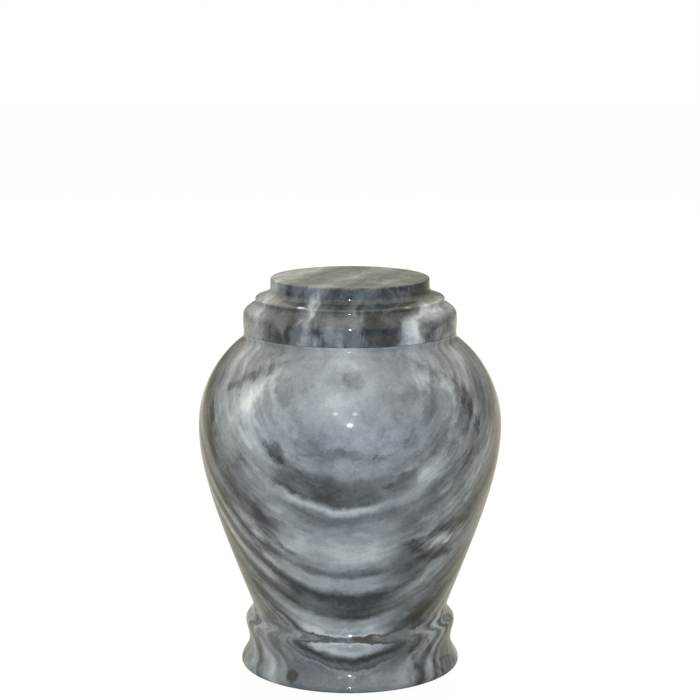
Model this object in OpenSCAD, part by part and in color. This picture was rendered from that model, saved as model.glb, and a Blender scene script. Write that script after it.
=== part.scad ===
// A turned marble cremation urn: a hollow body on a moulded foot, and a stepped lid that lifts off.
// Millimetres. Z points up and is the axis of turning, and the origin is the centre of the underside.
// Every outline is drawn as points of [radius, height] and turned about Z.

/* [Body] */
// Diameter of the belly, the widest part of the urn
belly_d = 200; // [166:1:240]
// Height of the belly's widest part above the underside
belly_h = 162; // [130:1:230]
// How far down the belly keeps its upright line before it curves in to the flank
belly_hold = 32; // [10:1:50]
// Angle from the vertical at which the flank rises out of the foot
flank_lean = 21; // [12:0.5:28]
// Length of the flank's straight stretch above the foot
flank_straight = 10; // [8:1:30]
// How far up the flank keeps its lean before it curves out to the belly
flank_hold = 50; // [10:1:70]
// Radius of the curve that runs from the belly up to the neck
shoulder_round = 72.4; // [60:0.1:90]
// Diameter of the neck, and of the lid where it sits on the neck
neck_d = 139.7; // [116:0.1:160]
// Hollow rounding between the shoulder and the neck
neck_round = 6; // [3:0.5:10]
// Height of the neck's straight band
neck_band = 1.2; // [0.8:0.1:12]

/* [Hollow] */
// Thickness of the wall of the belly and the flank
wall = 12; // [8:0.5:18]
// Thickness of the floor
floor_h = 16; // [10:0.5:26]
// Hollow rounding between the floor and the wall
floor_round = 18; // [6:1:24]
// Diameter of the mouth, which the lid's spigot enters
mouth_d = 100; // [70:1:106]
// Rounding of the mouth's edge
mouth_round = 0.8; // [0.2:0.1:2]

/* [Foot] */
// Diameter of the lip that the urn stands on
lip_d = 145.6; // [138:0.1:180]
// Height of the lip's upright edge
lip_h = 3.4; // [2.8:0.1:10]
// Angle of the lip's slope from the vertical
lip_slope = 30; // [20:1:45]
// Diameter of the cove between the lip and the ring
cove_d = 135.2; // [128:0.1:138]
// Height of the cove's upright part
cove_h = 6.8; // [5:0.1:14]
// Angle from the vertical at which the cove spreads to the ring
cove_spread = 14; // [8:1:25]
// Diameter of the ring at the top of the foot
ring_d = 139.6; // [136:0.1:160]
// Height of the ring's upright band
ring_h = 2.6; // [2:0.1:8]
// Angle of the slope above the ring from the vertical
ring_slope = 37.5; // [30:0.5:60]
// Diameter at which the flank meets the foot
waist_d = 127.8; // [116:0.1:134]

/* [Lid] */
// How far the lid's side stands out past the neck
lid_flare = 0.6; // [0.2:0.1:4]
// Height at which the lid's side is widest
lid_flare_h = 8.6; // [6:0.1:10]
// Height of the lid's side
lid_side_h = 13.6; // [12:0.1:30]
// Angle from the vertical at which the side draws in above its widest part
lid_side_taper = 8; // [2:0.5:12]
// Width of the lower ledge
lower_ledge = 7.7; // [5:0.1:16]
// Slope of the lower ledge from the vertical
lower_slope = 53; // [45:1:70]
// Height of the middle step's upright edge
step_h = 2.6; // [2:0.1:10]
// Width of the upper ledge
upper_ledge = 9.4; // [6:0.1:16]
// Slope of the upper ledge from the vertical
upper_slope = 69; // [60:1:80]
// Height of the top step
crown_h = 9.5; // [5:0.1:25]
// Angle from the vertical at which the side of the top step draws in
crown_taper = 4; // [0:0.5:15]
// Depth of the spigot that centres the lid in the mouth
spigot_h = 9; // [4:0.5:20]
// Clearance all round between the spigot and the mouth
spigot_gap = 0.6; // [0.3:0.1:2]

/* [Edges] */
// Rounding of the two edges that meet at the seam between the lid and the neck
seam_round = 0.4; // [0.2:0.1:0.7]
// Rounding of the edge of the underside
base_round = 1.8; // [0.5:0.1:3]
// Rounding of the lip's widest edge
lip_round = 5.4; // [1:0.1:8]
// Hollow rounding at the bottom of the cove
cove_low_round = 15; // [3:1:20]
// Hollow rounding at the top of the cove
cove_high_round = 20; // [3:1:30]
// Rounding of the ring's lower edge
ring_low_round = 8; // [2:0.5:12]
// Rounding of the ring's upper edge
ring_high_round = 3; // [1:0.1:5]
// Hollow rounding between the foot and the flank
waist_round = 8.2; // [2:0.1:12]
// Rounding of the lid's side where it is widest
lid_flare_round = 16; // [4:1:24]
// Rounding between the lid's side and its lower ledge
lid_side_round = 6; // [1:0.1:8]
// Hollow rounding at the foot of the middle step
step_foot_round = 3.2; // [0.5:0.1:5]
// Rounding of the edge of the middle step
step_edge_round = 1; // [0.3:0.1:2]
// Hollow rounding at the foot of the top step
crown_foot_round = 4.2; // [0.5:0.1:6]
// Rounding of the top edge
crown_edge_round = 1.3; // [0.3:0.1:3]
// Rounding of the spigot's lower edge
spigot_round = 1.2; // [0.3:0.1:3]

/* [Hidden] */
$fn = 180;
arc_step = 6; // degrees between the points of an arc, at most
flank_steps = 16; // stretches that the flank's curve is drawn in
side_share = 0.98; // the part of a side that the roundings at its two ends may take

belly_r = belly_d / 2;
neck_r = neck_d / 2;
mouth_r = mouth_d / 2;

// The shoulder's curve starts upright at the belly's widest part
shoulder_centre = [belly_r - shoulder_round, belly_h];

// The rounding at the neck touches the shoulder's curve and the neck's band
neck_reach = shoulder_round + neck_round;
neck_angle = acos((neck_r + neck_round - shoulder_centre[0]) / neck_reach);
neck_centre = shoulder_centre + neck_reach * [cos(neck_angle), sin(neck_angle)];
seat_h = neck_centre[1] + neck_band;

// The foot's corners, from the underside up
cove_low_z = lip_h + (lip_d - cove_d) / 2 / tan(lip_slope);
cove_high_z = cove_low_z + cove_h;
ring_low_z = cove_high_z + (ring_d - cove_d) / 2 / tan(cove_spread);
ring_high_z = ring_low_z + ring_h;
waist = [waist_d / 2, ring_high_z + (ring_d - waist_d) / 2 / tan(ring_slope)];

// The flank's curve, with the two points that steer it: it leaves along the lean and ends upright
flank_way = [sin(flank_lean), cos(flank_lean)];
flank_low = waist + flank_straight * flank_way;
flank_points = [
    flank_low,
    flank_low + flank_hold * flank_way,
    [belly_r, belly_h - belly_hold],
    [belly_r, belly_h]
];

// Inside, the same curves run one wall's thickness further in, down to the floor and up to the mouth
flank_low_inside = flank_low + wall * [-flank_way[1], flank_way[0]];
floor_r = flank_low_inside[0] - (flank_low_inside[1] - floor_h) * tan(flank_lean);
mouth_angle = acos((mouth_r - shoulder_centre[0]) / (shoulder_round - wall));

// The lid's corners, from the seam up
lid_wide_r = neck_r + lid_flare;
lid_side_r = lid_wide_r - (lid_side_h - lid_flare_h) * tan(lid_side_taper);
lid_side_z = seat_h + lid_side_h;
step_r = lid_side_r - lower_ledge;
step_low_z = lid_side_z + lower_ledge / tan(lower_slope);
step_high_z = step_low_z + step_h;
crown_r = step_r - upper_ledge;
crown_low_z = step_high_z + upper_ledge / tan(upper_slope);
crown_high_z = crown_low_z + crown_h;

// Points along an arc, its ends included; angles are measured up from the horizontal
function arc(centre, radius, from, to) =
    let (steps = max(2, ceil(abs(to - from) / arc_step)))
    [for (i = [0 : steps])
        let (angle = from + (to - from) * i / steps)
        centre + radius * [cos(angle), sin(angle)]];

function unit(v) = v / norm(v);

// The cubic curve through p, and its direction, at t from 0 to 1
function cubic(p, t) =
    pow(1 - t, 3) * p[0] + 3 * t * pow(1 - t, 2) * p[1] + 3 * t * t * (1 - t) * p[2] + pow(t, 3) * p[3];
function cubic_way(p, t) =
    unit(pow(1 - t, 2) * (p[1] - p[0]) + 2 * t * (1 - t) * (p[2] - p[1]) + t * t * (p[3] - p[2]));

// Points from the bottom to the top of the flank's curve, set in by a distance
function flank(inset) =
    [for (i = [0 : flank_steps])
        let (t = i / flank_steps, way = cubic_way(flank_points, t))
        cubic(flank_points, t) + inset * [-way[1], way[0]]];

function place(corners, i) = [corners[i][0], corners[i][1]];

// Half of the angle between the two sides that meet at corner i
function half_angle(corners, i) =
    let (back = unit(place(corners, i - 1) - place(corners, i)),
         ahead = unit(place(corners, i + 1) - place(corners, i)))
    acos(back * ahead) / 2;

// How far along its sides the rounding of corner i would reach; the two ends have none
function wish(corners, i) =
    i == 0 || i == len(corners) - 1 ? 0 : corners[i][2] / tan(half_angle(corners, i));

// The same where the next corner j needs its part of the side between them
function share(corners, i, j) =
    let (side = norm(place(corners, i) - place(corners, j)),
         both = wish(corners, i) + wish(corners, j))
    wish(corners, i) * (both > side_share * side ? side_share * side / both : 1);

// The rounding of corner i, as an arc that touches both sides
function rounding(corners, i) =
    let (here = place(corners, i),
         back = unit(place(corners, i - 1) - here),
         ahead = unit(place(corners, i + 1) - here),
         half = half_angle(corners, i),
         reach = min(share(corners, i, i - 1), share(corners, i, i + 1)),
         centre = here + unit(back + ahead) * reach / cos(half),
         spoke = here + back * reach - centre,
         start = atan2(spoke[1], spoke[0]),
         way = sign(back[1] * ahead[0] - back[0] * ahead[1]))
    arc(centre, norm(spoke), start, start + way * (180 - 2 * half));

// An outline through corners of [radius, height, rounding]
function outline(corners) =
    [for (i = [0 : len(corners) - 1])
        each (wish(corners, i) > 0 ? rounding(corners, i) : [place(corners, i)])];

// The outside, from the middle of the underside up to the flank
foot_outline = outline([
    [0, 0, 0],
    [lip_d / 2, 0, base_round],
    [lip_d / 2, lip_h, lip_round],
    [cove_d / 2, cove_low_z, cove_low_round],
    [cove_d / 2, cove_high_z, cove_high_round],
    [ring_d / 2, ring_low_z, ring_low_round],
    [ring_d / 2, ring_high_z, ring_high_round],
    [waist[0], waist[1], waist_round],
    [flank_low[0], flank_low[1], 0]
]);
belly_outline = concat(
    flank(0),
    arc(shoulder_centre, shoulder_round, 0, neck_angle),
    arc(neck_centre, neck_round, 180 + neck_angle, 180)
);
rim_outline = outline([
    [neck_r, neck_centre[1], 0],
    [neck_r, seat_h, seam_round],
    [mouth_r, seat_h, mouth_round],
    [mouth_r, shoulder_centre[1] + (shoulder_round - wall) * sin(mouth_angle), 0]
]);
flank_inside = flank(wall);
hollow_outline = concat(
    arc(shoulder_centre, shoulder_round - wall, mouth_angle, 0),
    [for (i = [flank_steps : -1 : 0]) flank_inside[i]],
    outline([
        [flank_low_inside[0], flank_low_inside[1], 0],
        [floor_r, floor_h, floor_round],
        [0, floor_h, 0]
    ])
);
lid_outline = outline([
    [0, seat_h - spigot_h, 0],
    [mouth_r - spigot_gap, seat_h - spigot_h, spigot_round],
    [mouth_r - spigot_gap, seat_h, 0],
    [neck_r, seat_h, seam_round],
    [lid_wide_r, seat_h + lid_flare_h, lid_flare_round],
    [lid_side_r, lid_side_z, lid_side_round],
    [step_r, step_low_z, step_foot_round],
    [step_r, step_high_z, step_edge_round],
    [crown_r, crown_low_z, crown_foot_round],
    [crown_r - crown_h * tan(crown_taper), crown_high_z, crown_edge_round],
    [0, crown_high_z, 0]
]);

// The hollow body, turned from one block
module urn_body() {
    color([0.50, 0.51, 0.52])
        rotate_extrude()
            polygon(concat(foot_outline, belly_outline, rim_outline, hollow_outline));
}

// The lid of three steps, with the spigot that drops into the mouth
module lid() {
    color([0.60, 0.58, 0.53])
        rotate_extrude()
            polygon(lid_outline);
}

urn_body();
lid();
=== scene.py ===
# Looks of a turned marble cremation urn: the body and the lid are lathed finely over the frame's plain
# solids, each from its own block of banded stone, and stand on a pale floor in soft light.
import math

import bpy
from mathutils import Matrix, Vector


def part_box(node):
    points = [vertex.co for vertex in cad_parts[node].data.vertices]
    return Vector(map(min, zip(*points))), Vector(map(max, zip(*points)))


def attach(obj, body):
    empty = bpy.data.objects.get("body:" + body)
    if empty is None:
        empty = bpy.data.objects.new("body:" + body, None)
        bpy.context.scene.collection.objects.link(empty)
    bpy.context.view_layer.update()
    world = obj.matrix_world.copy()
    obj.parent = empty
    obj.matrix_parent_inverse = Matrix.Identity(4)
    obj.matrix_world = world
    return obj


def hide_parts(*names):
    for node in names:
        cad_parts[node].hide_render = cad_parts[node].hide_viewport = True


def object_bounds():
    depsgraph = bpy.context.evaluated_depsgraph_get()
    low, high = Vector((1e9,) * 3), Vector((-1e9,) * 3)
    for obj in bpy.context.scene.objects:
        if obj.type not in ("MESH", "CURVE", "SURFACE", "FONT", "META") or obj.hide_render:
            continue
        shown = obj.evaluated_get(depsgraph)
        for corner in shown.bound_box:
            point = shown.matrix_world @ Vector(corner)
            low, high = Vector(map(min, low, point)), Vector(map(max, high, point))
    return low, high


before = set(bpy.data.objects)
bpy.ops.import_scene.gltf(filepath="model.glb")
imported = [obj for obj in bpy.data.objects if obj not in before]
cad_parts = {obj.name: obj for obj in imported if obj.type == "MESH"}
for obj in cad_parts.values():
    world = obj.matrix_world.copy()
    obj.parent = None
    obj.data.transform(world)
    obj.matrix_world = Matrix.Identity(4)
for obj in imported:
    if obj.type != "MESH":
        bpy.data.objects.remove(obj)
cadLow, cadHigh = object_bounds()
mm = 0.001
print("frame loaded:", sorted(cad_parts))


# outlines are rows of points, (radius, height), in millimetres
arcStep = 3  # degrees between the points of an arc, at most
cornerStep = 6  # the same where a corner is rounded
sideShare = 0.98  # the part of a side that the roundings at its two ends may take
sameSpot = 0.001  # points nearer to each other than this are one


def arcPoints(centre, radius, start, end, step=arcStep):
    count = max(2, math.ceil(abs(end - start) / step))
    angles = [math.radians(start + (end - start) * i / count) for i in range(count + 1)]
    return [(centre[0] + radius * math.cos(a), centre[1] + radius * math.sin(a)) for a in angles]


def roundedOutline(corners):  # of (radius, height, rounding); neighbours share a short side
    spots = [Vector(c[:2]) for c in corners]
    last = len(corners) - 1

    def halfAngle(i):
        return (spots[i - 1] - spots[i]).angle(spots[i + 1] - spots[i]) / 2

    def wish(i):
        return 0 if i in (0, last) else corners[i][2] / math.tan(halfAngle(i))

    def share(i, j):
        side, both = sideShare * (spots[i] - spots[j]).length, wish(i) + wish(j)
        return wish(i) * min(1, side / both)

    points = []
    for i, spot in enumerate(spots):
        if wish(i) == 0:
            points.append(tuple(spot))
            continue
        back = (spots[i - 1] - spot).normalized()
        ahead = (spots[i + 1] - spot).normalized()
        reach = min(share(i, i - 1), share(i, i + 1))
        centre = spot + (back + ahead).normalized() * reach / math.cos(halfAngle(i))
        spoke = spot + back * reach - centre
        start = math.degrees(math.atan2(spoke.y, spoke.x))
        way = math.copysign(1, back.y * ahead.x - back.x * ahead.y)
        end = start + way * (180 - 2 * math.degrees(halfAngle(i)))
        points += arcPoints(centre, spoke.length, start, end, cornerStep)
    return points


def cubicPoints(p, count, inset):  # a cubic curve through four steering points, set in by a distance
    points = []
    for i in range(count + 1):
        t = i / count
        s = 1 - t
        spot = p[0] * s**3 + p[1] * 3 * t * s * s + p[2] * 3 * t * t * s + p[3] * t**3
        way = (p[1] - p[0]) * s * s + (p[2] - p[1]) * 2 * t * s + (p[3] - p[2]) * t * t
        way.normalize()
        points.append((spot.x - way.y * inset, spot.y + way.x * inset))
    return points


def finely(points, longest):  # drops repeats and divides what is longer than a stretch
    out = [points[0]]
    for here in points[1:]:
        before = out[-1]
        gap = math.dist(before, here)
        if gap < sameSpot:
            continue
        count = math.ceil(gap / longest)
        out += [tuple(a + (b - a) * i / count for a, b in zip(before, here)) for i in range(1, count + 1)]
    return out


# the shape of the urn, in millimetres; the belly's radius, the height of the seat, and the lid's top and
# spigot come from the frame
bodyLow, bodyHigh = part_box("urn_body")
lidLow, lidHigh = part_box("lid")

urnShape = {
    "bellyRadius": (bodyHigh.x - bodyLow.x) / 2 / mm,
    "seatHeight": bodyHigh.z / mm,
    "bellyHeight": 162,
    "bellyHold": 32,
    "flankLean": 21,
    "flankStraight": 10,
    "flankHold": 50,
    "flankPoints": 40,
    "shoulderRound": 72.4,
    "neckRadius": 69.85,
    "neckRound": 6,
    "seamRound": 0.4,
    "wall": 12,
    "floor": 16,
    "floorRound": 18,
    "mouthRadius": 50,
    "mouthRound": 0.8,
    "foot": [  # radius, height above the underside, rounding: lip, cove and ring
        (72.8, 0, 1.8),
        (72.8, 3.4, 5.4),
        (67.6, 12.4, 15),
        (67.6, 19.2, 20),
        (69.8, 28.0, 8),
        (69.8, 30.6, 3),
        (63.9, 38.3, 8.2),
    ],
    "turns": 240,  # facets round the piece
    "stretch": 3.4,  # the longest step along the outline
}
lidShape = {
    "top": lidHigh.z / mm,
    "spigotDepth": (bodyHigh.z - lidLow.z) / mm,
    "spigotGap": 0.6,
    "spigotRound": 1.2,
    "steps": [  # radius, height above the seam, rounding, from the flared side up to the crown
        (70.45, 8.6, 16),
        (69.75, 13.6, 6),
        (62.05, 19.4, 3.2),
        (62.05, 22.0, 1),
        (52.65, 25.6, 4.2),
    ],
    "crown": (51.98, 1.3),  # radius and rounding of the top edge
    "turns": 240,  # facets round the piece
    "stretch": 3.4,  # the longest step along the outline
}


def urnOutline(shape):
    lean = math.radians(shape["flankLean"])
    way = Vector((math.sin(lean), math.cos(lean)))
    low = Vector(shape["foot"][-1][:2]) + way * shape["flankStraight"]
    widest = Vector((shape["bellyRadius"], shape["bellyHeight"]))
    steering = [low, low + way * shape["flankHold"], widest - Vector((0, shape["bellyHold"])), widest]
    shoulder = widest - Vector((shape["shoulderRound"], 0))
    reach = shape["shoulderRound"] + shape["neckRound"]
    neckTurn = math.degrees(math.acos((shape["neckRadius"] + shape["neckRound"] - shoulder.x) / reach))
    neck = shoulder + reach * Vector((math.cos(math.radians(neckTurn)), math.sin(math.radians(neckTurn))))
    outside = roundedOutline([(0, 0, 0)] + shape["foot"] + [(low.x, low.y, 0)])
    outside += cubicPoints(steering, shape["flankPoints"], 0)
    outside += arcPoints(shoulder, shape["shoulderRound"], 0, neckTurn)
    outside += arcPoints(neck, shape["neckRound"], 180 + neckTurn, 180)
    mouth, seat = shape["mouthRadius"], shape["seatHeight"]
    innerRound = shape["shoulderRound"] - shape["wall"]
    mouthTurn = math.degrees(math.acos((mouth - shoulder.x) / innerRound))
    mouthLow = shoulder.y + innerRound * math.sin(math.radians(mouthTurn))
    outside += roundedOutline([
        (shape["neckRadius"], neck.y, 0),
        (shape["neckRadius"], seat, shape["seamRound"]),
        (mouth, seat, shape["mouthRound"]),
        (mouth, mouthLow, 0),
    ])
    inside = arcPoints(shoulder, innerRound, mouthTurn, 0)
    inside += cubicPoints(steering, shape["flankPoints"], shape["wall"])[::-1]
    lowInside = Vector(inside[-1])
    floorRadius = lowInside.x - (lowInside.y - shape["floor"]) * math.tan(lean)
    inside += roundedOutline([
        (lowInside.x, lowInside.y, 0),
        (floorRadius, shape["floor"], shape["floorRound"]),
        (0, shape["floor"], 0),
    ])
    outside = finely(outside, shape["stretch"])
    return outside + finely([outside[-1]] + inside, 2 * shape["stretch"])[1:], len(outside)


def lidOutline(shape, urn):
    seat, spigot = urn["seatHeight"], urn["mouthRadius"] - shape["spigotGap"]
    low = seat - shape["spigotDepth"]
    under = [(0, low, 0), (spigot, low, shape["spigotRound"]), (spigot, seat, 0)]
    side = [(urn["neckRadius"], seat, urn["seamRound"])]
    side += [(radius, seat + height, rounding) for radius, height, rounding in shape["steps"]]
    crown = [(shape["crown"][0], shape["top"], shape["crown"][1]), (0, shape["top"], 0)]
    hidden = finely(roundedOutline(under), shape["stretch"])
    return finely(roundedOutline(under + side + crown), shape["stretch"]), len(hidden)


# short ways to make nodes and join them
class Wire:  # an output socket that can stand in a sum
    def __init__(self, bench, socket):
        self.bench = bench
        self.socket = socket

    def __add__(self, other):
        return self.bench.math("ADD", self, other)

    def __sub__(self, other):
        return self.bench.math("SUBTRACT", self, other)

    def __rsub__(self, other):
        return self.bench.math("SUBTRACT", other, self)

    def __mul__(self, other):
        return self.bench.math("MULTIPLY", self, other)

    def __truediv__(self, other):
        return self.bench.math("DIVIDE", self, other)

    def __rtruediv__(self, other):
        return self.bench.math("DIVIDE", other, self)

    __radd__ = __add__
    __rmul__ = __mul__


class Bench:  # makes the nodes of one tree
    def __init__(self, tree):
        self.tree = tree

    def node(self, kind, settings=None, sockets=None):
        made = self.tree.nodes.new(kind)
        for key, value in (settings or {}).items():
            if key == "stops":
                self.setStops(made.color_ramp, value)
            elif key == "between":
                made.color_ramp.interpolation = value
            else:
                setattr(made, key, value)
        for key, value in (sockets or {}).items():
            if isinstance(value, Wire):
                self.tree.links.new(value.socket, made.inputs[key])
            else:
                made.inputs[key].default_value = value
        return made

    def setStops(self, ramp, stops):
        while len(ramp.elements) < len(stops):
            ramp.elements.new(1)
        for element, (place, colour) in zip(ramp.elements, stops):
            element.position = place
            element.color = (*colour, 1)

    def wire(self, kind, settings=None, sockets=None, out=0):
        return Wire(self, self.node(kind, settings, sockets).outputs[out])

    def math(self, operation, *values, clamp=False):
        settings = {"operation": operation, "use_clamp": clamp}
        return self.wire("ShaderNodeMath", settings, dict(enumerate(values)))

    def vector(self, operation, *values, out=0):
        return self.wire("ShaderNodeVectorMath", {"operation": operation}, dict(enumerate(values)), out)

    def scaled(self, vector, factor):
        return self.wire("ShaderNodeVectorMath", {"operation": "SCALE"}, {0: vector, "Scale": factor})

    def dot(self, a, b):
        return self.vector("DOT_PRODUCT", a, b, out=1)

    def mixed(self, share, one, other):  # one where the share is 0, other where it is 1
        return self.wire("ShaderNodeMix", {"data_type": "FLOAT"}, {0: share, 2: one, 3: other})

    def swell(self, value, low, high, lowest=0.0, highest=1.0):  # a soft step from low to high
        settings = {"interpolation_type": "SMOOTHSTEP"}
        sockets = {0: value, 1: low, 2: high, 3: lowest, 4: highest}
        return self.wire("ShaderNodeMapRange", settings, sockets)


# the lathe turns an outline, given as a row of points at (radius, 0, height), about Z
lathing = {
    "weld": 0.00002,  # metres; points nearer than this become one
    "sharp": 0.6,  # radians; an edge that bends more than this stays sharp
}


def makeLathe():
    tree = bpy.data.node_groups.new("lathe", "GeometryNodeTree")
    for name, kind, side in (
        ("Outline", "NodeSocketGeometry", "INPUT"),
        ("Turns", "NodeSocketInt", "INPUT"),
        ("Hidden from", "NodeSocketInt", "INPUT"),
        ("Hidden to", "NodeSocketInt", "INPUT"),
        ("Waver", "NodeSocketFloat", "INPUT"),
        ("Waver size", "NodeSocketFloat", "INPUT"),
        ("Seed", "NodeSocketFloat", "INPUT"),
        ("Stone", "NodeSocketMaterial", "INPUT"),
        ("Turned", "NodeSocketGeometry", "OUTPUT"),
    ):
        tree.interface.new_socket(name=name, in_out=side, socket_type=kind)
    bench = Bench(tree)
    given = bench.node("NodeGroupInput")
    outline, turns, hiddenFrom, hiddenTo, waver, waverSize, seed, stone = [
        Wire(bench, socket) for socket in given.outputs[:8]
    ]
    count = bench.wire("GeometryNodeAttributeDomainSize", {"component": "MESH"}, {0: outline})
    grid = bench.wire("GeometryNodeMeshGrid", None, {0: 1.0, 1: 1.0, 2: turns + 1, 3: count})
    index = bench.wire("GeometryNodeInputIndex")
    step = bench.math("MODULO", index, count)
    angle = bench.math("FLOOR", (index + 0.5) / count) * math.tau / turns
    drawn = bench.wire(
        "GeometryNodeSampleIndex",
        {"data_type": "FLOAT_VECTOR", "domain": "POINT"},
        {"Geometry": outline, "Value": bench.wire("GeometryNodeInputPosition"), "Index": step},
    )
    radius = bench.wire("ShaderNodeSeparateXYZ", None, {0: drawn}, 0)
    height = bench.wire("ShaderNodeSeparateXYZ", None, {0: drawn}, 2)
    place = bench.wire(
        "ShaderNodeCombineXYZ",
        None,
        {0: radius * bench.math("COSINE", angle), 1: radius * bench.math("SINE", angle), 2: height},
    )
    turned = bench.wire("GeometryNodeSetPosition", None, {"Geometry": grid, "Position": place})
    isHidden = bench.math("GREATER_THAN", step, hiddenFrom - 0.5)
    isHidden = isHidden * bench.math("LESS_THAN", step, hiddenTo - 0.5)
    turned = bench.wire(
        "GeometryNodeStoreNamedAttribute",
        {"data_type": "FLOAT", "domain": "POINT"},
        {"Geometry": turned, "Name": "hidden", "Value": isHidden},
    )
    sockets = {"Geometry": turned, "Distance": lathing["weld"]}
    turned = bench.wire("GeometryNodeMergeByDistance", None, sockets)
    # hand polishing leaves the surface very slightly uneven, always inwards of the true outline
    noise = bench.wire(
        "ShaderNodeTexNoise",
        {"noise_dimensions": "4D"},
        {"Vector": bench.wire("GeometryNodeInputPosition"), "W": seed, "Scale": 1 / waverSize, "Detail": 1.0},
    )
    inward = bench.scaled(bench.wire("GeometryNodeInputNormal"), noise * waver * -1)
    turned = bench.wire("GeometryNodeSetPosition", None, {"Geometry": turned, "Offset": inward})
    turned = bench.wire("GeometryNodeSetShadeSmooth", None, {"Geometry": turned})
    sharp = bench.math("GREATER_THAN", bench.wire("GeometryNodeInputMeshEdgeAngle"), lathing["sharp"])
    sockets = {"Geometry": turned, "Selection": sharp, "Shade Smooth": False}
    turned = bench.wire("GeometryNodeSetShadeSmooth", {"domain": "EDGE"}, sockets)
    turned = bench.wire("GeometryNodeRealizeInstances", None, {"Geometry": turned})
    turned = bench.wire("GeometryNodeSetMaterial", None, {"Geometry": turned, "Material": stone})
    bench.node("NodeGroupOutput", None, {0: turned})
    return tree


def turn(name, outline, hidden, lathe, material, settings):
    mesh = bpy.data.meshes.new(name + "_outline")
    points = [(r * mm, 0, z * mm) for r, z in outline]
    mesh.from_pydata(points, [(i, i + 1) for i in range(len(points) - 1)], [])
    drawn = bpy.data.objects.new(name + "_outline", mesh)
    bpy.context.scene.collection.objects.link(drawn)
    modifier = drawn.modifiers.new("lathe", "NODES")
    modifier.node_group = lathe
    inputs = {item.name: item.identifier for item in lathe.interface.items_tree if item.in_out == "INPUT"}
    values = dict(settings, **{"Hidden from": hidden[0], "Hidden to": hidden[1], "Stone": material})
    for key, value in values.items():
        modifier[inputs[key]] = value
    bpy.context.view_layer.update()
    turned = bpy.data.meshes.new_from_object(drawn.evaluated_get(bpy.context.evaluated_depsgraph_get()))
    bpy.data.objects.remove(drawn)
    turned.name = name
    piece = bpy.data.objects.new(name, turned)
    bpy.context.scene.collection.objects.link(piece)
    triangles = sum(len(p.vertices) - 2 for p in turned.polygons)
    print(f"{name}: {len(turned.vertices)} points, {triangles} triangles")
    return piece


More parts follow.
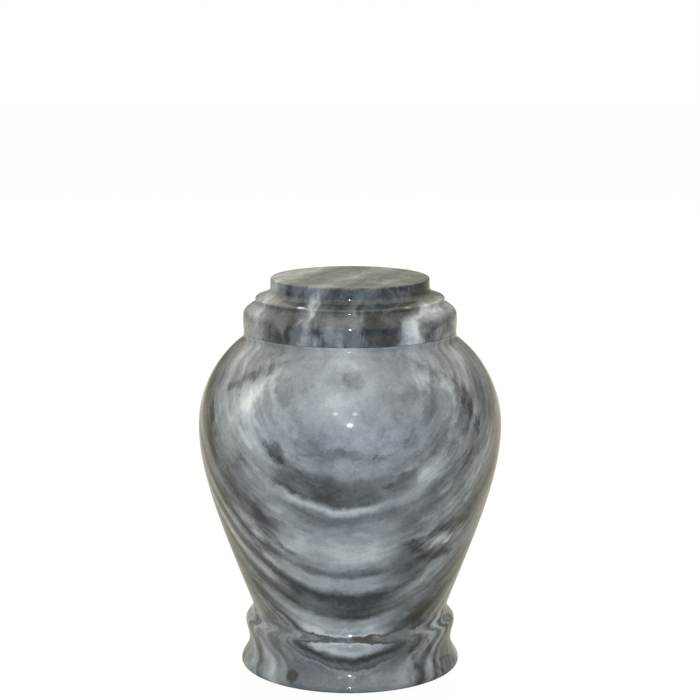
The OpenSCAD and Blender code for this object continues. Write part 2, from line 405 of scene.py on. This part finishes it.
# the stone: beds of grey and white stacked across one direction, a little drifted, with clouds, clots and
# wisps; places are in millimetres, and a tone runs from 0, black smoke, to 1, white
tones = {"smoke": 0.27, "slate": 0.35, "grey": 0.43, "silver": 0.51, "pale": 0.60, "white": 0.68}
changes = {"dark": -0.20, "dim": -0.13, "light": 0.10, "bright": 0.22}  # of tone, in a clot or a vein
halfWidths = {"thin": 3, "broad": 4.5}  # of a vein
urnStone = {
    "turn": 0,  # degrees round from the front, and degrees up from level, of the line that crosses the beds
    "lean": 35,
    "centre": (0, 0, 0),
    # degrees round, and the heights at which each bed comes out there; a list takes over along its edge, which
    # is measured sideways, and for the rear along the line that crosses the beds
    "beds": {
        "front": {"around": 0, "rows": [
            (3, "grey"), (8, "silver"), (13, "slate"), (17, "grey"), (21, "smoke"), (26, "white"),
            (32, "pale"), (40, "white"), (45, "pale"), (50, "slate"), (56, "slate"), (63, "smoke"),
            (70, "pale"), (76, "pale"), (80, "grey"), (85, "pale"), (95, "white"), (105, "pale"),
            (115, "silver"), (121, "grey"), (126, "white"), (131, "slate"), (142, "slate"), (150, "silver"),
            (165, "silver"), (200, "pale"),
        ]},
        "left": {"around": -60, "edge": (-30, -60), "rows": [
            (3, "pale"), (12, "slate"), (20, "silver"), (28, "white"), (38, "silver"), (50, "grey"),
            (60, "silver"), (70, "slate"), (80, "silver"), (90, "slate"), (98, "white"), (108, "slate"),
            (116, "pale"), (126, "slate"), (135, "silver"), (150, "slate"), (165, "grey"), (180, "silver"),
            (195, "pale"),
        ]},
        "right": {"around": 60, "edge": (10, 40), "rows": [
            (3, "grey"), (8, "slate"), (15, "silver"), (20, "smoke"), (28, "pale"), (38, "slate"),
            (46, "silver"), (56, "slate"), (66, "smoke"), (76, "slate"), (86, "grey"), (100, "silver"),
            (110, "grey"), (122, "slate"), (135, "grey"), (150, "silver"), (170, "grey"), (190, "grey"),
            (205, "silver"),
        ]},
        "rear": {"around": 180, "edge": (25, 10), "rows": [
            (4, "pale"), (10, "grey"), (15, "pale"), (22, "slate"), (30, "slate"), (40, "pale"),
            (60, "silver"), (75, "slate"), (90, "smoke"), (105, "grey"), (125, "pale"), (150, "pale"),
            (165, "grey"), (180, "silver"), (205, "grey"),
        ]},
    },
    "lenses": [  # clots and smoke lying along the beds: degrees round, height, breadth, thickness, change
        (-48, 190, 20, 15, "light"), (2, 207, 10, 3, "dim"), (50, 185, 20, 8, "dim"),
        (30, 150, 18, 7, "light"), (20, 145, 14, 5, "dim"), (25, 133, 15, 6, "light"),
        (-32, 8, 5, 5, "dark"),
    ],
    "veins": [  # degrees round and height of each end, width and change
        ((48, 202), (55, 168), "broad", "dark"), ((25, 218), (48, 202), "broad", "dim"),
        ((-58, 195), (-32, 215), "broad", "dark"), ((-50, 178), (-35, 205), "broad", "light"),
        ((-66, 182), (-60, 145), "broad", "dark"), ((-33, 170), (-22, 155), "broad", "dark"),
        ((-14, 163), (14, 160), "thin", "dim"), ((35, 96), (47, 104), "broad", "bright"),
        ((44, 98), (55, 107), "broad", "bright"), ((22, 101), (34, 95), "broad", "dark"),
        ((30, 90), (54, 90), "thin", "dark"), ((34, 104), (50, 115), "thin", "dark"),
        ((-40, 112), (-18, 86), "thin", "dark"), ((-58, 132), (-42, 90), "thin", "dark"),
        ((-56, 124), (-38, 98), "broad", "bright"), ((34, 40), (48, 54), "broad", "dark"),
        ((50, 60), (75, 90), "broad", "light"), ((34, 28), (42, 6), "thin", "dark"),
        ((46, 30), (56, 5), "thin", "dark"), ((-62, 30), (-60, 6), "broad", "dark"),
    ],
    "fold": (35, 3.5, 6),  # a tight fold at this height: half its thickness, and how far it pulls the beds
    "calm": (18, 55, 0.45),  # where the beds grow ragged sideways, and how much the middle keeps
    "clouds": (24, 0.42),  # size and strength
    "laminae": (30, 3, 0.36),  # length, thickness and strength
    "streaks": (46, 6.5, 0.34),
    "seed": 3.1,
    "drift": ((60, 1.0), (22, 1.1), (7, 0.75), (2.8, 0.5)),  # how the beds wander: size and distance
}
lidStone = {
    "turn": 65,
    "lean": -5,
    "centre": (0, 0, 240),
    "beds": {  # here a height, and the degrees round at which each bed comes out there
        "front": {"height": 233, "rows": [
            (-100, "grey"), (-85, "silver"), (-66, "pale"), (-58, "pale"), (-50, "grey"), (-44, "slate"),
            (-36, "slate"), (-29, "grey"), (-24, "silver"), (-19, "grey"), (-12, "slate"), (-5, "slate"),
            (2, "grey"), (8, "slate"), (15, "slate"), (23, "smoke"), (28, "grey"), (33, "pale"),
            (40, "silver"), (47, "grey"), (55, "silver"), (63, "grey"),
        ]},
    },
    "lenses": [
        (14, 233, 14, 9, "dim"), (30, 234, 14, 8, "bright"), (-7, 227, 5, 4, "bright"),
        (-18, 227, 5, 4, "light"), (-30, 232, 9, 6, "dim"),
    ],
    "veins": [
        ((-22, 258), (-24, 240), "broad", "bright"), ((-21, 238), (-25, 227), "thin", "light"),
        ((-50, 258), (-48, 250), "thin", "dark"), ((38, 228), (52, 237), "thin", "dim"),
        ((5, 241), (30, 248), "thin", "dim"),
    ],
    "calm": (0, 1, 1),
    "clouds": (14, 0.55),
    "laminae": (22, 3, 0.22),
    "streaks": (30, 7, 0.26),
    "seed": 8.7,
    "drift": ((60, 2.5), (20, 3.2), (7, 1.3), (2.8, 0.5)),
}
stoneColours = [  # tone and colour, from the darkest smoke to the whitest clot
    (0.12, (0.009, 0.011, 0.015)),
    (0.30, (0.037, 0.043, 0.054)),
    (0.45, (0.126, 0.142, 0.171)),
    (0.60, (0.270, 0.297, 0.350)),
    (0.75, (0.465, 0.500, 0.560)),
    (0.95, (0.780, 0.810, 0.830)),
]


noises = {  # detail, roughness and seed of each noise, the seed on top of the stone's own
    "drift": (2, 0.5, 0),
    "cloud": (7, 0.66, 3),
    "fray": (4, 0.65, 21),
    "laminae": (4, 0.6, 5),
    "streaks": (3, 0.55, 6),
    "clots": (3, 0.5, 7),
    "wisps": (3, 0.5, 29),
    "wispPatches": (2, 0.5, 11),
    "grain": (2, 0.7, 13),
    "pits": (2, 0.6, 17),
    "waves": (2, 0.5, 15),
    "honing": (2, 0.5, 0),
}
marbling = {  # what both stones share, in millimetres and tones
    "driftSeeds": 10,  # from one drift's seed to the next
    "fray": (14, 3.5, 5),  # the torn edges of clots and veins: length, thickness and strength
    "foldEdge": 0.2,  # the share of the fold's thickness that is pulled fully
    "lensEdge": (1.2, 0.3),  # where a clot has faded, in its own sizes, and how much of the fraying it takes
    "veinEdge": 1.7,  # where a vein has faded, in half widths
    "clots": (20, 8, 0.56, 0.68, 0.08),  # length, thickness, where the noise starts and fills them, strength
    "wisps": (42, 10, 0.035, 0.09),  # length, thickness, reach in the noise, strength
    "wispPatches": (38, 0.45, 0.62),  # size, and where the noise starts and fills them
    "grain": (0.9, 0.08),  # size and strength
    "crystals": (1.1, 0.025),
}
surface = {  # of the polish, and of the honed stone inside and under the lid
    "roughness": 0.4,  # of the stone under the polish; the next three add to it
    "honedRoughness": 0.3,
    "cloudRoughness": 0.1,
    "pitRoughness": 0.2,
    "coat": 0.9,
    "coatLostInPits": 0.5,
    "coatRoughness": 0.055,
    "coatBend": 1.55,
    "stoneBend": 1.5,
    "honedColour": (0.55, 0.56, 0.55, 1),
    "honedShare": 0.45,
    "pits": (1.6, 0.74, 0.80, 0.8),  # size, where the noise starts and fills them, depth
    "waves": (9, 0.6),  # the unevenness left by polishing: size and height
    "honing": (9, 0.25, 2),  # the tool marks: length, size and height
    "relief": (0.25, 0.00006),  # strength, and metres of height
}


def radiusAt(points, height):  # of the outline, where it is widest at that height
    sides = zip(points, points[1:])
    return max(max(a[0], b[0]) for a, b in sides if min(a[1], b[1]) <= height <= max(a[1], b[1]))


def surfaceSpot(points, around, height):
    a, radius = math.radians(around), radiusAt(points, height)
    return Vector((radius * math.sin(a), -radius * math.cos(a), height))


def bandedMarble(name, stone, points):
    material = bpy.data.materials.new(name)
    material.use_nodes = True
    material.node_tree.nodes.clear()
    bench = Bench(material.node_tree)

    def noise(kind, place, size, shift=0, out=0):
        detail, roughness, seed = noises[kind]
        sockets = {"Vector": place, "W": stone["seed"] + seed + shift, "Scale": 1 / size}
        sockets |= {"Detail": detail, "Roughness": roughness}
        return bench.wire("ShaderNodeTexNoise", {"noise_dimensions": "4D"}, sockets, out)

    spot = bench.scaled(bench.wire("ShaderNodeTexCoord", None, None, 3), 1 / mm)
    spot = bench.vector("SUBTRACT", spot, stone["centre"])
    drifted = spot
    for i, (size, distance) in enumerate(stone["drift"]):
        wander = noise("drift", spot, size, marbling["driftSeeds"] * i, 1)
        pull = bench.vector("SUBTRACT", wander, (0.5, 0.5, 0.5))
        # a noise strays about a quarter from its middle, so four times that is the distance
        drifted = bench.vector("MULTIPLY_ADD", pull, (4 * distance,) * 3, drifted)
    turn, lean = math.radians(stone["turn"]), math.radians(stone["lean"])
    across = Vector((math.sin(turn) * math.cos(lean), -math.cos(turn) * math.cos(lean), math.sin(lean)))
    middle = Vector(stone["centre"])
    depth = bench.dot(drifted, tuple(across))
    if "fold" in stone:
        height, half, pull = stone["fold"]
        off = bench.math("ABSOLUTE", bench.wire("ShaderNodeSeparateXYZ", None, {0: drifted}, 2) - height)
        depth = depth - bench.swell(off, half * marbling["foldEdge"], half, pull, 0.0)

    def bedded(long, short):  # the same place, squeezed so that a noise lies flat along the beds
        along = bench.scaled(drifted, 1 / long)
        return bench.vector("ADD", along, bench.scaled(tuple(across), depth * (1 / short - 1 / long)))

    def beds(drawn):  # the tone by depth; each bed lies as deep as the spot where it comes out
        spots = [(drawn.get("around", place), drawn.get("height", place)) for place, _ in drawn["rows"]]
        places = [across.dot(surfaceSpot(points, *spot) - middle) for spot in spots]
        first, last = min(places), max(places)
        shares = [(place - first) / (last - first) for place in places]
        stops = sorted(zip(shares, [(tones[tone],) * 3 for _, tone in drawn["rows"]]))
        sockets = {0: (depth - first) / (last - first)}
        return bench.wire("ShaderNodeValToRGB", {"stops": stops, "between": "EASE"}, sockets)

    sideways = bench.wire("ShaderNodeSeparateXYZ", None, {0: drifted}, 0)
    tone = beds(stone["beds"]["front"])
    for side, way in (("left", sideways), ("right", sideways), ("rear", depth)):
        if side in stone["beds"]:
            drawn = stone["beds"][side]
            tone = bench.mixed(bench.swell(way, *drawn["edge"]), tone, beds(drawn))

    size, cloudStrength = stone["clouds"]
    cloud = noise("cloud", drifted, size) - 0.5
    long, short, strength = marbling["fray"]
    frayed = (noise("fray", bedded(long, short), 1) - 0.5) * strength
    edge, fraying = marbling["lensEdge"]
    for around, height, breadth, thickness, change in stone["lenses"]:
        place = surfaceSpot(points, around, height) - middle
        away = bench.vector("SUBTRACT", drifted, tuple(place))
        deep = depth - across.dot(place)
        far = bench.dot(away, away) / breadth**2 + deep * deep * (1 / thickness**2 - 1 / breadth**2)
        tone = tone + bench.swell(far + cloud + frayed * fraying, 0.0, edge, changes[change], 0.0)
    for start, end, width, change in stone["veins"]:
        start, end = [surfaceSpot(points, *spot) - middle for spot in (start, end)]
        half, way = halfWidths[width], end - start
        away = bench.vector("SUBTRACT", drifted, tuple(start))
        along = bench.math("ADD", bench.dot(away, tuple(way / way.length_squared)), 0.0, clamp=True)
        aside = bench.vector("LENGTH", bench.vector("SUBTRACT", away, bench.scaled(tuple(way), along)), out=1)
        taper = (along - 0.5) * (along - 0.5) * (4 * half)  # nothing halfway, half the width at the ends
        far = aside + taper + frayed * half
        tone = tone + bench.swell(far, 0.0, marbling["veinEdge"] * half, changes[change], 0.0)

    ragged = bench.swell(bench.math("ABSOLUTE", sideways), *stone["calm"], 1.0)
    long, short, strength = stone["laminae"]
    laminae = (noise("laminae", bedded(long, short), 1) - 0.5) * strength
    long, short, strength = stone["streaks"]
    streaks = (noise("streaks", bedded(long, short), 1) - 0.5) * strength
    long, short, start, full, strength = marbling["clots"]
    clots = bench.swell(noise("clots", bedded(long, short), 1), start, full) * strength
    long, short, reach, strength = marbling["wisps"]
    wisps = bench.math("ABSOLUTE", noise("wisps", bedded(long, short), 1) - 0.5)
    size, start, full = marbling["wispPatches"]
    patches = bench.swell(noise("wispPatches", spot, size), start, full)
    wisps = bench.swell(wisps, 0.0, reach, strength, 0.0) * patches
    size, grainStrength = marbling["grain"]
    grain = (noise("grain", spot, size) - 0.5) * grainStrength
    size, strength = marbling["crystals"]
    crystal = bench.wire("ShaderNodeTexVoronoi", None, {"Vector": spot, "Scale": 1 / size}, 1)
    crystal = (bench.wire("ShaderNodeSeparateColor", None, {0: crystal}, 0) - 0.5) * strength

    tone = tone + cloud * cloudStrength + ragged * (laminae + streaks + clots - wisps) + grain + crystal
    colour = bench.wire("ShaderNodeValToRGB", {"stops": stoneColours}, {0: tone})
    hidden = bench.wire("ShaderNodeAttribute", {"attribute_name": "hidden"}, None, 2)
    settings = {"data_type": "RGBA", "blend_type": "MIX"}
    sockets = {0: hidden * surface["honedShare"], 6: colour, 7: surface["honedColour"]}
    colour = bench.wire("ShaderNodeMix", settings, sockets, 2)

    # a faint unevenness left by polishing, tiny pits, and the marks of the tool where the stone is honed
    size, start, full, pitDepth = surface["pits"]
    pits = bench.swell(noise("pits", spot, size), start, full)
    size, waveHeight = surface["waves"]
    relief = noise("waves", spot, size) * waveHeight - pits * pitDepth
    long, size, markHeight = surface["honing"]
    relief = relief + hidden * noise("honing", bedded(long, long), size) * markHeight
    strength, distance = surface["relief"]
    bump = bench.wire("ShaderNodeBump", None, {"Strength": strength, "Distance": distance, "Height": relief})
    roughness = surface["roughness"] + hidden * surface["honedRoughness"]
    roughness = roughness + cloud * surface["cloudRoughness"] + pits * surface["pitRoughness"]
    shader = bench.node("ShaderNodeBsdfPrincipled", None, {
        "Base Color": colour,
        "Roughness": roughness,
        "Normal": bump,
        "Specular IOR Level": 0.0,
        "IOR": surface["stoneBend"],
        "Coat Weight": (1 - hidden) * (surface["coat"] - pits * surface["coatLostInPits"]),
        "Coat Roughness": surface["coatRoughness"],
        "Coat IOR": surface["coatBend"],
    })
    bench.node("ShaderNodeOutputMaterial", None, {0: Wire(bench, shader.outputs[0])})
    return material


# the two pieces
lathe = makeLathe()
urnPoints, urnVisible = urnOutline(urnShape)
lidPoints, lidHidden = lidOutline(lidShape, urnShape)
polish = {"Waver": 0.00006, "Waver size": 0.03}  # metres
urnSettings = dict(polish, Turns=urnShape["turns"], Seed=1.5)
lidSettings = dict(polish, Turns=lidShape["turns"], Seed=6.5)
print(f"outlines drawn: body {len(urnPoints)} points, lid {len(lidPoints)}")

urnMarble = bandedMarble("urn_marble", urnStone, urnPoints[:urnVisible])
lidMarble = bandedMarble("lid_marble", lidStone, lidPoints[lidHidden:])
print("marble mixed for the body and the lid")
urnPiece = turn("urn_body_turned", urnPoints, (urnVisible, len(urnPoints)), lathe, urnMarble, urnSettings)
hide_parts("urn_body")
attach(urnPiece, "root")
lidPiece = turn("lid_turned", lidPoints, (0, lidHidden), lathe, lidMarble, lidSettings)
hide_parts("lid")
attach(lidPiece, "root")


# floor, light and camera; places and sizes are in metres
view = {
    "distance": 1.368,  # from the axis of turning, level
    "height": 0.457,
    "down": 10.18,  # degrees below level
    "lens": 108.6,  # millimetres, with the sensor's width
    "sensor": 36,
}
ground = {
    "half": 6,  # from its middle to its edge
    "colour": (0.42, 0.41, 0.37, 1),
    "glow": 1.1,
    "whiteness": 0.85,  # the share of the glow where the camera sees the floor
}
light = {
    "around": (0.32, 0.305, 0.24),  # the warm room
    "above": (1.08, 0.98, 0.74),  # its ceiling
    "front": (0.31, 0.35, 0.39),  # the dimmer side that the urn faces
    "turning": (0.1, 0.9),  # how squarely a side faces the front where the dim side starts and is full
    "rising": (0.0, 0.6),  # how high the ceiling starts and is full
    "aim": 0.62,  # the share of the urn's height that the lamps point at
    "keyHeight": 0.17,  # above the camera
    "lamps": [  # degrees round, degrees up, metres away, size, watts, colour, seen in the polish
        (0, None, None, 0.035, 6.4, (0.76, 0.89, 1.0), True),  # the small bright lamp above the camera
        (0, None, None, 0.50, 4.9, (0.71, 0.87, 1.0), False),
        (-12, 30, 2.6, 0.16, 0.45, (1.0, 0.80, 0.60), True),
        (4, 30, 2.6, 0.16, 0.45, (1.0, 0.80, 0.60), True),
        (0, None, None, 0.13, 0.35, (0.65, 0.85, 1.0), True),
        (158, 44, 2.2, 0.17, 0.5, (1.0, 0.94, 0.84), True),
        (196, 46, 2.2, 0.14, 0.35, (0.88, 0.94, 1.0), True),
        (178, 38, 2.4, 1.20, 50, (1.0, 0.97, 0.91), False),
    ],
}


def standing(distance, around, up, target):  # a place round the target, and the turn that looks at it
    a, e = math.radians(around), math.radians(up)
    away = Vector((math.sin(a) * math.cos(e), -math.cos(a) * math.cos(e), math.sin(e)))
    return target + away * distance, away.to_track_quat("Z", "Y").to_euler()


def areaLight(name, place, turned, size, watts, colour, mirrored):
    lamp = bpy.data.lights.new(name, "AREA")
    lamp.shape = "DISK"
    lamp.size = size
    lamp.energy = watts
    lamp.color = colour
    made = bpy.data.objects.new(name, lamp)
    made.location = place
    made.rotation_euler = turned
    made.visible_glossy = mirrored
    bpy.context.scene.collection.objects.link(made)
    return made


def makeWorld():
    world = bpy.data.worlds.new("room")
    world.use_nodes = True
    world.node_tree.nodes.clear()
    bench = Bench(world.node_tree)
    seen = bench.wire("ShaderNodeLightPath")
    settings = {"data_type": "RGBA", "blend_type": "MIX"}
    way = bench.wire("ShaderNodeTexCoord")
    sockets = {0: bench.swell(bench.dot(way, (0, -1, 0)), *light["turning"])}
    sockets |= {6: (*light["around"], 1), 7: (*light["front"], 1)}
    room = bench.wire("ShaderNodeMix", settings, sockets, 2)
    sockets = {0: bench.swell(bench.dot(way, (0, 0, 1)), *light["rising"]), 6: room, 7: (*light["above"], 1)}
    room = bench.wire("ShaderNodeMix", settings, sockets, 2)
    colour = bench.wire("ShaderNodeMix", settings, {0: seen, 6: room, 7: (1, 1, 1, 1)}, 2)
    background = bench.node("ShaderNodeBackground", None, {0: colour})
    bench.node("ShaderNodeOutputWorld", None, {0: Wire(bench, background.outputs[0])})
    bpy.context.scene.world = world


def makeFloor():
    mesh = bpy.data.meshes.new("floor")
    half = ground["half"]
    corners = [(-half, -half, 0), (half, -half, 0), (half, half, 0), (-half, half, 0)]
    mesh.from_pydata(corners, [], [(0, 1, 2, 3)])
    material = bpy.data.materials.new("pale_floor")
    material.use_nodes = True
    material.node_tree.nodes.clear()
    bench = Bench(material.node_tree)
    plain = bench.wire("ShaderNodeBsdfDiffuse", None, {0: ground["colour"]})
    white = bench.wire("ShaderNodeEmission", None, {0: (1, 1, 1, 1), 1: ground["glow"]})
    seen = bench.wire("ShaderNodeLightPath")
    mixed = bench.wire("ShaderNodeMixShader", None, {0: seen * ground["whiteness"], 1: plain, 2: white})
    bench.node("ShaderNodeOutputMaterial", None, {0: mixed})
    mesh.materials.append(material)
    floor = bpy.data.objects.new("floor", mesh)
    bpy.context.scene.collection.objects.link(floor)


scene = bpy.context.scene
makeWorld()
makeFloor()
middle = Vector((0, 0, cadHigh.z * light["aim"]))
cameraPlace = Vector((0, -view["distance"], view["height"]))
keyPlace = cameraPlace + Vector((0, 0, light["keyHeight"]))
keyTurn = (keyPlace - middle).to_track_quat("Z", "Y").to_euler()
for i, (around, up, away, size, watts, colour, mirrored) in enumerate(light["lamps"]):
    place, turned = (keyPlace, keyTurn) if up is None else standing(away, around, up, middle)
    areaLight(f"lamp_{i}", place, turned, size, watts, colour, mirrored)

camera = bpy.data.cameras.new("camera")
camera.lens = view["lens"]
camera.sensor_width = view["sensor"]
cameraObject = bpy.data.objects.new("camera", camera)
cameraObject.location = cameraPlace
cameraObject.rotation_euler = (math.radians(90 - view["down"]), 0, 0)
scene.collection.objects.link(cameraObject)
scene.camera = cameraObject
scene.view_settings.view_transform = "Standard"
print("floor, light and camera placed")
